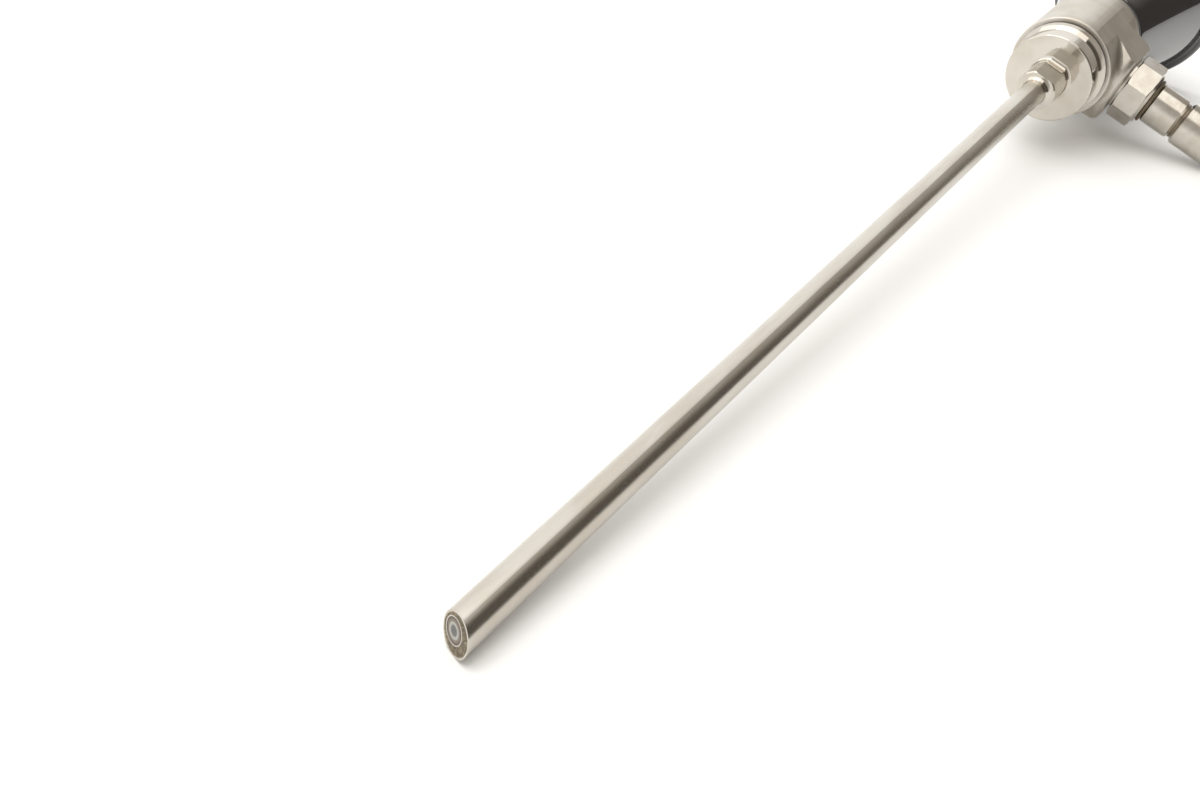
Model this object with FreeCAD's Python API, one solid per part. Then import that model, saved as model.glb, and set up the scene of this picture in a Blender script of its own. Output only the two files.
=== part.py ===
"""Rigid 30 degree arthroscope, 4 mm shaft, modelled piece by piece in millimetres.

Every piece is built in the scope's own axes: X runs along the shaft from the tip to the
eyepiece, Z is up and the light post points along -Y. rest_placement() then lays the scope
on a flat surface, on its tip, the rim of the eyecup and the end of the light post.
"""
import FreeCAD, Part
import math
import os

# Shaft and tip
SHAFT_R = 2.0              # the 4 mm shaft, measured in the sheath
SHAFT_WALL = 0.2
FACE_ANGLE = 30.0          # the tip's face leans away from the light post
SHAFT_NECK = (1.83, 1.7)   # radii of the necked end, soldered into the hub's nose
SHAFT_END = 172.0
NECK_LEAD = 0.8            # the bore narrows this far before the hub
TIP_ROOM = -4.0            # pieces start this far out and are trimmed to the oblique face

# Optics tube, off centre towards the side that looks
OPTICS_R = 1.25
OPTICS_BORE_R = 1.15
OPTICS_OFFSET = 0.35
OPTICS_END = 207.0
WINDOW_THICK = 0.45
PRISM_SPLIT_X = 2.6
PRISM_END_X = 4.2
CELL_WALL = 0.2
CELL_X = (4.2, 13.4)
OBJECTIVE_LENSES = ((5.0, 7.2), (8.6, 12.4))
ROD_COUNT = 6
ROD_START = 13.4
ROD_LENGTH = 27.0
ROD_SPACER = 6.0

# Sheath hub: nose boss, coupling disc and latch groove
BOSS_FRONT = 168.9
BOSS_R = 3.3
BOSS_FLAT_Z = 2.8          # key flat that sets the sheath's angle
NOSE_FILLET = 1.1
FLAT_FILLET = 0.9          # the flat runs up to the disc with this radius
DISC_FRONT = 176.5
DISC_R = 7.4
DISC_REAR = 180.5
GROOVE_R = 6.6
GROOVE_FLARE = (2.0, 7.9)  # length and end radius of the groove's flare at the body
BODY_GAP = (183.0, 6.9)    # the dark joint before the body starts here, with this floor radius

# Main body
BODY_FRONT = 183.6
BODY_R = 8.65
BODY_SHOULDER = 200.6
BODY_REAR = 205.6
BODY_REAR_R = 8.1
BODY_BORE_R = 5.2
HUB_CHAMBER = 186.5        # the narrow bore of the hub opens into its chamber here
HUB_SPIGOT_END = 189.4
HUB_BORE_R = 3.7           # the bundle turns towards the post in here
HUB_SEAL_X = (185.6, 186.6)
HUB_SEAL_R = 4.4           # foot of the seal's groove

# Light post, measured from the shaft's axis along the post
POST_X = 195.0
POST_BOSS_R = 8.2
POST_FACE = 9.9
POST_SPIGOT = (6.9, 4.6)
TOP_FLAT = (8.54, 19.3)    # distance from the shaft's axis, and lean towards the post
COLLAR = (10.4, 14.7)
COLLAR_FLATS = 11.0        # across the flats of the eight-sided collar
STUD_R = 2.7
STUD_END = 20.35
NOSE_R = 2.2
NOSE_END = 29.6
FERRULE_R = 1.9
FIBRE_R = 1.3
FIBRE_BEND = 5.0

# Adapters screwed on the light post
SEAL_FACE = 15.1
SEAL_THICK = 0.6
SEAL_R = 4.1
THREAD_GAP = 0.05          # running gap between a thread's plain stand-ins
THREAD_PITCH = 0.75
THREAD_TURNS = 5           # turns until an adapter leaves its thread
BARREL_R = 3.7
BARREL_END = 20.9
VEE_R = 3.4
INNER_SPIGOT_R = 3.0
INNER_END = 27.2
OUTER_START = 21.75
OUTER_R = 3.95
OUTER_END = 31.0

# Eyepiece
TUBE_R = 6.6
TUBE_BORE_R = 5.8
TUBE_X = (198.0, 232.8)
CUP_FRONT = 206.0
CUP_SEAL_R = 7.6
CUP_NECK_R = 9.6
CUP_NECK_END = 221.5
CUP_R = 16.0               # the standard 32 mm eyecup
RIM_FRONT = 236.4
RIM_REAR = 240.5
WINDOW_SEAT_R = 6.0
WINDOW_X = (233.6, 235.4)
RING_REAR = 236.6          # back of the ring that holds the window
FIELD_STOP_R = 1.0
FIELD_STOP_X = (203.0, 208.8)
CELL_FRONT = 213.0
CELL_REAR = 229.0
LOCK_REAR = 231.0
OCULAR_R = 4.9
OCULAR_LENSES = ((214.2, 218.4), (220.0, 224.6))

TAN_FACE = math.tan(math.radians(FACE_ANGLE))
NOSE_FRONT = BOSS_FRONT - NOSE_FILLET


def outline(start, *steps):
    """Closed face in the XZ plane. A step is the next point, or (middle, end) of an arc."""
    def at(point):
        return FreeCAD.Vector(point[0], 0, point[1])
    edges = []
    here = start
    for step in steps + (start,):
        if isinstance(step[0], tuple):
            edges.append(Part.Arc(at(here), at(step[0]), at(step[1])).toShape())
            here = step[1]
        else:
            edges.append(Part.LineSegment(at(here), at(step)).toShape())
            here = step
    return Part.Face(Part.Wire(edges))


def turned(start, *steps):
    """Solid of revolution about X of an outline given as (x, radius) points."""
    return outline(start, *steps).revolve(FreeCAD.Vector(0, 0, 0), FreeCAD.Vector(1, 0, 0), 360)


def round_bar(radius, x_from, x_to, y=0.0):
    """Plain cylinder along X."""
    return Part.makeCylinder(radius, x_to - x_from, FreeCAD.Vector(x_from, y, 0), FreeCAD.Vector(1, 0, 0))


def ring(outer, inner, x_from, x_to, y=0.0):
    """Plain tube along X."""
    return round_bar(outer, x_from, x_to, y).cut(round_bar(inner, x_from, x_to, y))


def on_post(shape):
    """Moves a piece built along X from the origin on to the light post."""
    turn = FreeCAD.Rotation(FreeCAD.Vector(0, 0, 1), -90)
    return placed(shape, FreeCAD.Placement(FreeCAD.Vector(POST_X, 0, 0), turn))


def placed(shape, placement):
    """Copy of a shape at another place."""
    moved = shape.copy()
    moved.Placement = placement.multiply(moved.Placement)
    return moved


def before_face(depth=0.0):
    """Block that fills the space before the tip's oblique plane, or before one sunk by depth."""
    side = 20.0
    block = Part.makeBox(side, side, side, FreeCAD.Vector(depth - side, -side / 2, -side / 2))
    block.rotate(FreeCAD.Vector(0, 0, 0), FreeCAD.Vector(0, 0, 1), -FACE_ANGLE)
    return block


def outer_tube():
    """The shaft: a thin tube with the oblique face and a necked end for the hub."""
    bore = SHAFT_R - SHAFT_WALL
    neck_r, neck_bore = SHAFT_NECK
    tube = turned(
        (TIP_ROOM, bore),
        (TIP_ROOM, SHAFT_R),
        (NOSE_FRONT, SHAFT_R),
        (NOSE_FRONT, neck_r),
        (SHAFT_END, neck_r),
        (SHAFT_END, neck_bore),
        (NOSE_FRONT - NECK_LEAD, neck_bore),
        (NOSE_FRONT - NECK_LEAD, bore))
    return tube.cut(before_face())


def inner_optics_tube():
    """Thin tube that holds the whole relay, off centre in the shaft."""
    return ring(OPTICS_R, OPTICS_BORE_R, TIP_ROOM, OPTICS_END, OPTICS_OFFSET).cut(before_face())


def objective_window():
    """Oval sapphire plug between two oblique planes."""
    plug = round_bar(OPTICS_BORE_R, TIP_ROOM, PRISM_END_X, OPTICS_OFFSET)
    return plug.common(before_face(WINDOW_THICK)).cut(before_face())


def prism_pair():
    """Front prism behind the window and rear prism, cemented on a plane that leans back."""
    glass = round_bar(OPTICS_BORE_R, TIP_ROOM, PRISM_END_X, OPTICS_OFFSET).cut(before_face(WINDOW_THICK))
    rear_half = Part.makeBox(10, 10, 10, FreeCAD.Vector(0, -5, -5))
    rear_half.rotate(FreeCAD.Vector(0, 0, 0), FreeCAD.Vector(0, 0, 1), FACE_ANGLE)
    rear_half.translate(FreeCAD.Vector(PRISM_SPLIT_X, 0, 0))
    return glass.cut(rear_half), glass.common(rear_half)


def lens(radius, x_from, x_to, bulge, y=0.0):
    """Lens with both faces bulging by the same height."""
    middle = (x_from + x_to) / 2
    sphere = (radius ** 2 + bulge ** 2) / (2 * bulge)
    body = round_bar(radius, x_from, x_to, y)
    front = Part.makeSphere(sphere, FreeCAD.Vector(x_from + sphere, y, 0))
    rear = Part.makeSphere(sphere, FreeCAD.Vector(x_to - sphere, y, 0))
    half_front = round_bar(radius, x_from, middle, y).common(front)
    half_rear = round_bar(radius, middle, x_to, y).common(rear)
    return body.common(half_front.fuse(half_rear)).removeSplitter()


def relay_train():
    """Rod lenses with a spacer tube between each two."""
    pieces = {}
    x = ROD_START
    for number in range(1, ROD_COUNT + 1):
        pieces["rod_lens_%d" % number] = round_bar(OPTICS_BORE_R, x, x + ROD_LENGTH, OPTICS_OFFSET)
        x += ROD_LENGTH
        if number < ROD_COUNT:
            wall = ring(OPTICS_BORE_R, OPTICS_BORE_R - CELL_WALL, x, x + ROD_SPACER, OPTICS_OFFSET)
            pieces["rod_spacer_%d" % number] = wall
            x += ROD_SPACER
    return pieces


def light_fibre_bundle():
    """Crescent of fibres along the shaft that gathers into a round rod and bends into the post."""
    gather = HUB_CHAMBER + 1.5
    crescent = round_bar(SHAFT_R - SHAFT_WALL, TIP_ROOM, NOSE_FRONT - NECK_LEAD).cut(before_face())
    crescent = crescent.fuse(round_bar(SHAFT_NECK[1], NOSE_FRONT - NECK_LEAD, gather))
    crescent = crescent.cut(round_bar(OPTICS_R, TIP_ROOM, gather, OPTICS_OFFSET))
    start_y = -(OPTICS_R - OPTICS_OFFSET + FIBRE_R + 0.05)
    bend_x = POST_X - FIBRE_BEND
    straight = round_bar(FIBRE_R, HUB_CHAMBER, bend_x, start_y)
    section = Part.Face(Part.Wire(Part.makeCircle(
        FIBRE_R, FreeCAD.Vector(bend_x, start_y, 0), FreeCAD.Vector(1, 0, 0))))
    bend = section.revolve(FreeCAD.Vector(bend_x, start_y - FIBRE_BEND, 0), FreeCAD.Vector(0, 0, 1), -90)
    run = on_post(round_bar(FIBRE_R, -start_y + FIBRE_BEND, NOSE_END))
    return crescent.fuse([straight, bend, run]).removeSplitter()


def sheath_hub():
    """Nose boss with a fillet on to the shaft, coupling disc, latch groove and spigot."""
    fillet = NOSE_FILLET * (1 - math.sqrt(0.5))
    flare = BODY_GAP[0] - GROOVE_FLARE[0]
    hub = turned(
        (NOSE_FRONT, SHAFT_NECK[0]),
        (NOSE_FRONT, SHAFT_R),
        ((BOSS_FRONT - fillet, SHAFT_R + fillet), (BOSS_FRONT, SHAFT_R + NOSE_FILLET)),
        (BOSS_FRONT + 0.2, BOSS_R),
        (DISC_FRONT - 0.6, BOSS_R),
        ((DISC_FRONT - 0.18, BOSS_R + 0.18), (DISC_FRONT, BOSS_R + 0.6)),
        (DISC_FRONT, DISC_R - 0.3),
        ((DISC_FRONT + 0.09, DISC_R - 0.09), (DISC_FRONT + 0.3, DISC_R)),
        (DISC_REAR - 0.3, DISC_R),
        ((DISC_REAR - 0.09, DISC_R - 0.09), (DISC_REAR, DISC_R - 0.3)),
        (DISC_REAR, GROOVE_R),
        (flare, GROOVE_R),
        ((flare + GROOVE_FLARE[0] * 0.66, GROOVE_R + 0.42), (BODY_GAP[0], GROOVE_FLARE[1])),
        BODY_GAP,
        (BODY_FRONT, BODY_GAP[1]),
        (BODY_FRONT, BODY_BORE_R),
        (HUB_SEAL_X[0], BODY_BORE_R),
        (HUB_SEAL_X[0], HUB_SEAL_R),
        (HUB_SEAL_X[1], HUB_SEAL_R),
        (HUB_SEAL_X[1], BODY_BORE_R),
        (HUB_SPIGOT_END, BODY_BORE_R),
        (HUB_SPIGOT_END, HUB_BORE_R),
        (HUB_CHAMBER, HUB_BORE_R),
        (HUB_CHAMBER, SHAFT_NECK[1]),
        (SHAFT_END, SHAFT_NECK[1]),
        (SHAFT_END, SHAFT_NECK[0]))
    above = Part.makeBox(DISC_FRONT - NOSE_FRONT, 20, 5, FreeCAD.Vector(NOSE_FRONT, -10, BOSS_FLAT_Z))
    corner = [edge for edge in above.Edges if is_flat_corner(edge)]
    return hub.cut(above.makeFillet(FLAT_FILLET, corner))


def is_flat_corner(edge):
    """True for the cutter's edge that runs across the boss where its flat meets the disc."""
    box = edge.BoundBox
    return box.XMin > DISC_FRONT - 0.1 and box.ZMax < BOSS_FLAT_Z + 0.1


def hub_seal():
    """Ring in the groove of the hub's spigot."""
    return ring(BODY_BORE_R, HUB_SEAL_R, *HUB_SEAL_X)


def main_body():
    """Round housing with a light-post boss that flows out of its side."""
    barrel = turned(
        (BODY_FRONT, 0),
        (BODY_FRONT, BODY_R - 0.3),
        ((BODY_FRONT + 0.09, BODY_R - 0.09), (BODY_FRONT + 0.3, BODY_R)),
        (BODY_SHOULDER, BODY_R),
        ((BODY_SHOULDER + 2.7, BODY_R - 0.15), (BODY_REAR, BODY_REAR_R)),
        (BODY_REAR, 0))
    boss = on_post(turned(
        (0, 0),
        (0, POST_BOSS_R + 0.3),
        (8.4, POST_BOSS_R),
        ((9.46, POST_BOSS_R - 0.44), (POST_FACE, POST_BOSS_R - 1.5)),
        (POST_FACE, 0)))
    body = barrel.fuse(boss)
    body = body.makeFillet(1.2, [edge for edge in body.Edges if is_boss_seam(edge)])
    body = body.cut(above_top_flat())
    cavity = round_bar(BODY_BORE_R, BODY_FRONT - 1, TUBE_X[0])
    cavity = cavity.fuse(round_bar(TUBE_R, TUBE_X[0], BODY_REAR + 1))
    return body.cut(cavity).cut(on_post(round_bar(POST_SPIGOT[1], 0, POST_FACE + 1)))


def above_top_flat():
    """Block above the flat that leans from the top of the body to the collar's top."""
    side = 40.0
    block = Part.makeBox(side, side, side, FreeCAD.Vector(POST_X - side / 2, -side / 2, TOP_FLAT[0]))
    block.rotate(FreeCAD.Vector(0, 0, 0), FreeCAD.Vector(1, 0, 0), TOP_FLAT[1])
    return block


def is_boss_seam(edge):
    """True for the edges where the boss leaves the round housing."""
    box = edge.BoundBox
    along_post = box.YMin > -BODY_R - 0.2 and box.YMax < -1.0
    inside = box.XMin > POST_X - POST_BOSS_R - 1.2 and box.XMax < POST_X + POST_BOSS_R + 1.2
    middle = edge.valueAt((edge.FirstParameter + edge.LastParameter) / 2)
    post_r = math.hypot(middle.x - POST_X, middle.z)
    return along_post and inside and abs(post_r - POST_BOSS_R) < 0.6 and edge.Length > 1.0


def light_post_base():
    """Eight-sided collar, spigot in the body and the stud with its nose."""
    corner = COLLAR_FLATS / 2 / math.cos(math.pi / 8)
    points = []
    for side in range(9):
        angle = math.pi / 8 + side * math.pi / 4
        points.append(FreeCAD.Vector(COLLAR[0], corner * math.cos(angle), corner * math.sin(angle)))
    prism = Part.Face(Part.makePolygon(points)).extrude(FreeCAD.Vector(COLLAR[1] - COLLAR[0], 0, 0))
    ends = turned(
        (COLLAR[0], 0),
        (COLLAR[0], COLLAR_FLATS / 2 - 0.1),
        (COLLAR[0] + 0.3, corner + 0.1),
        (COLLAR[1] - 0.3, corner + 0.1),
        (COLLAR[1], COLLAR_FLATS / 2 - 0.1),
        (COLLAR[1], 0))
    stem = turned(
        (POST_SPIGOT[0], FERRULE_R),
        (POST_SPIGOT[0], POST_SPIGOT[1]),
        (COLLAR[0] + 0.1, POST_SPIGOT[1]),
        (COLLAR[1] - 0.1, 4.9),
        (COLLAR[1], 4.9),
        (SEAL_FACE, 4.5),
        (SEAL_FACE, STUD_R),
        (STUD_END - 0.4, STUD_R),
        (STUD_END, NOSE_R),
        (NOSE_END - 0.2, NOSE_R),
        (NOSE_END, NOSE_R - 0.2),
        (NOSE_END, FERRULE_R))
    bore = round_bar(FERRULE_R, 0, NOSE_END + 1)
    return on_post(prism.common(ends).fuse(stem).cut(bore))


def fibre_ferrule():
    """Sleeve round the fibres in the light post."""
    return on_post(ring(FERRULE_R, FIBRE_R, POST_SPIGOT[0] + 1.8, NOSE_END))


def rounded_ring(outer, inner, x_from, x_to):
    """Ring with a round outer face."""
    middle = (x_from + x_to) / 2
    edge = outer - (x_to - x_from) / 3
    return turned((x_from, inner), (x_from, edge), ((middle, outer), (x_to, edge)), (x_to, inner))


def inner_adapter_seal():
    """Black ring between the collar and the inner adapter."""
    return on_post(rounded_ring(SEAL_R, STUD_R + THREAD_GAP, SEAL_FACE + 0.05, SEAL_FACE + SEAL_THICK))


def inner_adapter():
    """First barrel, screwed on the stud, with a spigot for the outer adapter."""
    start = SEAL_FACE + SEAL_THICK + 0.05
    return on_post(turned(
        (start, STUD_R + THREAD_GAP),
        (start, BARREL_R - 0.3),
        (start + 0.3, BARREL_R),
        (BARREL_END, BARREL_R),
        (BARREL_END + 0.3, VEE_R),
        (BARREL_END + 0.35, INNER_SPIGOT_R),
        (INNER_END - 0.3, INNER_SPIGOT_R),
        (INNER_END, INNER_SPIGOT_R - 0.3),
        (INNER_END, NOSE_R + THREAD_GAP),
        (STUD_END + 0.1, NOSE_R + THREAD_GAP),
        (STUD_END + 0.1, STUD_R + THREAD_GAP)))


def outer_adapter_seal():
    """Thin ring at the foot of the groove between the adapters."""
    return on_post(ring(VEE_R - 0.15, INNER_SPIGOT_R + THREAD_GAP, BARREL_END + 0.4, OUTER_START - 0.05))


def outer_adapter():
    """Second barrel, which the light cable's socket slides over."""
    return on_post(turned(
        (OUTER_START, INNER_SPIGOT_R + THREAD_GAP),
        (OUTER_START, VEE_R),
        (OUTER_START + 0.4, OUTER_R),
        (OUTER_END - 0.4, OUTER_R),
        (OUTER_END, OUTER_R - 0.4),
        (OUTER_END, 2.9),
        (OUTER_END - 0.6, NOSE_R + 0.2),
        (INNER_END + 0.3, NOSE_R + 0.2),
        (INNER_END + 0.3, INNER_SPIGOT_R + THREAD_GAP)))


def eyepiece_tube():
    """Steel tube that joins the body to the eyecup and holds the ocular."""
    return ring(TUBE_R, TUBE_BORE_R, *TUBE_X)


def field_stop():
    """Collar that carries the relay's end, with the thin stop that edges the picture."""
    front, rear = FIELD_STOP_X
    stop = turned((front, 0), (front, TUBE_BORE_R), (rear, TUBE_BORE_R), (rear, 0))
    stop = stop.cut(round_bar(OPTICS_R, front, OPTICS_END, OPTICS_OFFSET))
    return stop.cut(round_bar(FIELD_STOP_R, front, rear, OPTICS_OFFSET))


def ocular_cell():
    """Sleeve with a front lip that holds the two ocular lenses."""
    lip_rear = OCULAR_LENSES[0][0]
    return turned(
        (CELL_FRONT, OCULAR_R - 1.3),
        (CELL_FRONT, TUBE_BORE_R),
        (CELL_REAR, TUBE_BORE_R),
        (CELL_REAR, OCULAR_R),
        (lip_rear, OCULAR_R),
        (lip_rear, OCULAR_R - 1.3))


def ocular_lock_ring():
    """Ring that locks the ocular cell in the tube."""
    return ring(TUBE_BORE_R, OCULAR_R - 0.5, CELL_REAR, LOCK_REAR)


def eyecup_seal():
    """Ring between the body and the eyecup."""
    return rounded_ring(CUP_SEAL_R, TUBE_R, BODY_REAR, CUP_FRONT)


def eyecup():
    """Black funnel with the 32 mm rim and the recess for the window."""
    return turned(
        (CUP_FRONT, TUBE_R),
        (CUP_FRONT, CUP_NECK_R - 0.8),
        ((CUP_FRONT + 0.25, CUP_NECK_R - 0.25), (CUP_FRONT + 0.8, CUP_NECK_R)),
        (CUP_NECK_END, CUP_NECK_R),
        ((CUP_NECK_END + 7.6, CUP_NECK_R + 1.6), (RIM_FRONT - 0.6, CUP_R - 1.4)),
        ((RIM_FRONT - 0.35, CUP_R - 0.35), (RIM_FRONT + 0.4, CUP_R)),
        (RIM_REAR - 0.5, CUP_R),
        ((RIM_REAR - 0.15, CUP_R - 0.15), (RIM_REAR, CUP_R - 0.5)),
        (RIM_REAR, CUP_R - 1.6),
        ((RIM_REAR - 2.6, CUP_R - 5.6), (RING_REAR, WINDOW_SEAT_R + 1.0)),
        (RING_REAR, WINDOW_SEAT_R),
        (WINDOW_X[0], WINDOW_SEAT_R),
        (WINDOW_X[0], WINDOW_SEAT_R - 0.8),
        (TUBE_X[1], WINDOW_SEAT_R - 0.8),
        (TUBE_X[1], TUBE_R))


def eyepiece_window():
    """Flat glass that closes the eyepiece."""
    return round_bar(WINDOW_SEAT_R, *WINDOW_X)


def window_retaining_ring():
    """Ring that holds the window in its seat."""
    front = WINDOW_X[1]
    return turned(
        (front, WINDOW_SEAT_R - 1.0),
        (front, WINDOW_SEAT_R),
        (RING_REAR, WINDOW_SEAT_R),
        (RING_REAR, WINDOW_SEAT_R - 0.5))


def floor_normal():
    """Up direction when the tip, the eyecup's rim and the light post all touch the floor."""
    up = FreeCAD.Vector(0, 0, 1)
    for _ in range(60):
        tip = -SHAFT_R * math.hypot(TAN_FACE * up.x + up.y, up.z)
        lean_x = (tip + CUP_R * math.hypot(up.y, up.z)) / (RIM_FRONT + 0.4)
        reach = POST_X * lean_x - (OUTER_R * math.hypot(up.x, up.z)) - tip
        lean_y = reach / (OUTER_END - 0.4)
        up = FreeCAD.Vector(lean_x, lean_y, math.sqrt(1 - lean_x ** 2 - lean_y ** 2))
    return up


def rest_placement():
    """Lays the scope down, with the centre of its footprint at the origin."""
    up = floor_normal()
    along = FreeCAD.Vector(1, 0, 0) - up * up.x
    along.normalize()
    rotation = FreeCAD.Rotation(along, up.cross(along), up, "ZXY").inverted()
    lay = FreeCAD.Placement(FreeCAD.Vector(0, 0, 0), rotation)
    outer = [placed(piece, lay) for piece in (outer_tube(), eyecup(), outer_adapter())]
    box = Part.makeCompound(outer).optimalBoundingBox(False, False)
    shift = FreeCAD.Vector(-(box.XMin + box.XMax) / 2, -(box.YMin + box.YMax) / 2, -box.ZMin)
    return FreeCAD.Placement(shift, rotation)


def all_pieces():
    """Every piece by its node's name, in the scope's own axes."""
    front, rear = prism_pair()
    pieces = {
        "outer_tube": outer_tube(),
        "inner_optics_tube": inner_optics_tube(),
        "objective_window": objective_window(),
        "prism_front": front,
        "prism_rear": rear,
        "objective_cell": ring(OPTICS_BORE_R, OPTICS_BORE_R - CELL_WALL, *CELL_X, OPTICS_OFFSET),
        "light_fibre_bundle": light_fibre_bundle(),
        "sheath_hub": sheath_hub(),
        "hub_seal": hub_seal(),
        "main_body": main_body(),
        "light_post_base": light_post_base(),
        "fibre_ferrule": fibre_ferrule(),
        "inner_adapter_seal": inner_adapter_seal(),
        "inner_adapter": inner_adapter(),
        "outer_adapter_seal": outer_adapter_seal(),
        "outer_adapter": outer_adapter(),
        "eyepiece_tube": eyepiece_tube(),
        "field_stop": field_stop(),
        "ocular_cell": ocular_cell(),
        "ocular_front_lens": lens(OCULAR_R, *OCULAR_LENSES[0], 0.9),
        "ocular_rear_lens": lens(OCULAR_R, *OCULAR_LENSES[1], 0.9),
        "ocular_lock_ring": ocular_lock_ring(),
        "eyecup_seal": eyecup_seal(),
        "eyecup": eyecup(),
        "eyepiece_window": eyepiece_window(),
        "window_retaining_ring": window_retaining_ring(),
    }
    for number, (x_from, x_to) in enumerate(OBJECTIVE_LENSES, 1):
        glass = lens(OPTICS_BORE_R - CELL_WALL, x_from, x_to, 0.2, OPTICS_OFFSET)
        pieces["objective_lens_%d" % number] = glass
    pieces.update(relay_train())
    return pieces


def main():
    os.makedirs("parts", exist_ok=True)
    rest = rest_placement()
    for name, shape in all_pieces().items():
        moved = placed(shape, rest)
        moved.exportStep("parts/%s.step" % name)
        print("%-22s %9.2f mm3  solids %d  valid %s" % (name, moved.Volume, len(moved.Solids), moved.isValid()))


if __name__ == "__main__":
    main()
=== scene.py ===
"""Dresses a rigid 30 degree arthroscope: finishes, threads, fibre ends, eyecup and a white table."""
import math

import bmesh
import bpy
from mathutils import Matrix, Vector


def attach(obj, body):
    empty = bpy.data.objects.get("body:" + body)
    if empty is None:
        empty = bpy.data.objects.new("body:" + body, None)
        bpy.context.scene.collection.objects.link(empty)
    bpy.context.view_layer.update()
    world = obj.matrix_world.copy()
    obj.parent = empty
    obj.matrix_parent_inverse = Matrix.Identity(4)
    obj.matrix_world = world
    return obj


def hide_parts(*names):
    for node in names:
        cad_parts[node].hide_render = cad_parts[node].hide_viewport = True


bl_info = {
    "name": "Arthroscope dresser",
    "version": (1, 0, 0),
    "blender": (4, 5, 0),
    "location": "View3D > Sidebar > Arthroscope",
    "description": "Finishes, threads, fibre ends, eyecup and studio for a rigid arthroscope",
    "category": "Object",
}

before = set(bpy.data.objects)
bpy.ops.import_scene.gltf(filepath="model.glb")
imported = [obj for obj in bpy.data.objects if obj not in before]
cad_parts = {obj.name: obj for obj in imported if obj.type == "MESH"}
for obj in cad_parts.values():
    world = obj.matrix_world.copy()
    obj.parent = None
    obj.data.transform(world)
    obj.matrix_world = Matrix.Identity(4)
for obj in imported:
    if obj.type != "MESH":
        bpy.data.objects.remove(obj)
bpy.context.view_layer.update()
MM = 0.001

# The scope's own axes run from the tip to the eyepiece in X, and the light post points along -Y.
# The table's upward direction in those axes, and the shift onto the table, are those that part.py solves.
UP = Vector((0.0589227, 0.3191435, 0.9458729))
REST_SHIFT = Vector((-0.119938, 0.007254, 0.00201935))


def rest_matrix():
    """Scope axes to the table's axes, with the scope lying on tip, eyecup and light post."""
    along = (Vector((1, 0, 0)) - UP * UP.x).normalized()
    turn = Matrix((along, UP.cross(along), UP))
    return Matrix.Translation(REST_SHIFT) @ turn.to_4x4()


REST = rest_matrix()
SHARP_ANGLE = math.radians(50)

# Tip: the optics tube sits off centre, with the window in it and the fibres round it
TIP_ANGLE = math.radians(30)
OPTICS_Y = 0.35 * MM
WINDOW_RADIUS = 1.15 * MM
TIP_FIBRE_REACH = 1.82 * MM
TIP_FIBRE_CLEAR = 1.29 * MM

# Light post: heights on its axis, from the scope's own axis outwards
POST_X = 195.0 * MM
STUD_RADIUS = 2.7 * MM
STUD_THREAD_START = 16.9 * MM
STUD_THREAD_LENGTH = 2.6 * MM
SPIGOT_RADIUS = 3.0 * MM
SPIGOT_THREAD_START = 22.3 * MM
SPIGOT_THREAD_LENGTH = 4.2 * MM
POST_FIBRE_REACH = 1.25 * MM
POST_FIBRE_HEIGHT = 29.606 * MM

# Shares of the thread's pitch and of the fibres' spacing
RIDGE_DEPTH = 0.28
FIBRE_ROW_STEP = 0.866
FIBRE_RADIUS = 0.46
FIBRE_STIR = 0.12
SMALLEST_FIBRE = 0.82


# Settings
class ScopeSizes(bpy.types.PropertyGroup):
    """Sizes of the small pieces that the dresser makes."""
    thread_pitch: bpy.props.FloatProperty(
        name="Thread pitch", description="Pitch of both adapter threads", default=0.75 * MM,
        min=0.2 * MM, precision=5, unit="LENGTH")
    thread_height: bpy.props.FloatProperty(
        name="Thread height", description="Height of the crests above the stud and the spigot",
        default=0.04 * MM, min=0.01 * MM, precision=5, unit="LENGTH")
    fibre_pitch: bpy.props.FloatProperty(
        name="Fibre spacing", description="Distance between neighbouring light fibres",
        default=0.085 * MM, min=0.04 * MM, precision=6, unit="LENGTH")
    cement_width: bpy.props.FloatProperty(
        name="Cement bead", description="Width of the cement round the objective window",
        default=0.14 * MM, min=0.02 * MM, precision=6, unit="LENGTH")
    seed: bpy.props.IntProperty(
        name="Seed", description="Seed of the fibres' small differences", default=7, min=0)


class ScopeFinishes(bpy.types.PropertyGroup):
    """Colours and gloss of the scope's finishes."""
    steel: bpy.props.FloatVectorProperty(
        name="Steel", description="Colour of the stainless steel", subtype="COLOR", size=3,
        default=(0.60, 0.568, 0.512), min=0, max=1)
    steel_deep: bpy.props.FloatVectorProperty(
        name="Steel, handled", description="Warmer steel where it is handled", subtype="COLOR", size=3,
        default=(0.53, 0.485, 0.42), min=0, max=1)
    shaft_gloss: bpy.props.FloatProperty(
        name="Shaft roughness", description="Roughness of the polished shaft", default=0.24,
        min=0, max=1, subtype="FACTOR")
    hub_gloss: bpy.props.FloatProperty(
        name="Hub roughness", description="Roughness of the polished coupling disc and boss",
        default=0.07, min=0, max=1, subtype="FACTOR")
    body_gloss: bpy.props.FloatProperty(
        name="Body roughness", description="Roughness of the satin body", default=0.40,
        min=0, max=1, subtype="FACTOR")
    cup: bpy.props.FloatVectorProperty(
        name="Eyecup", description="Colour of the moulded eyecup", subtype="COLOR", size=3,
        default=(0.010, 0.010, 0.011), min=0, max=1)
    epoxy: bpy.props.FloatVectorProperty(
        name="Epoxy", description="Colour of the epoxy between the fibres", subtype="COLOR", size=3,
        default=(0.11, 0.075, 0.04), min=0, max=1)
    fibre: bpy.props.FloatVectorProperty(
        name="Fibre ends", description="Colour of the polished fibre ends", subtype="COLOR", size=3,
        default=(0.42, 0.35, 0.21), min=0, max=1)


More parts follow.
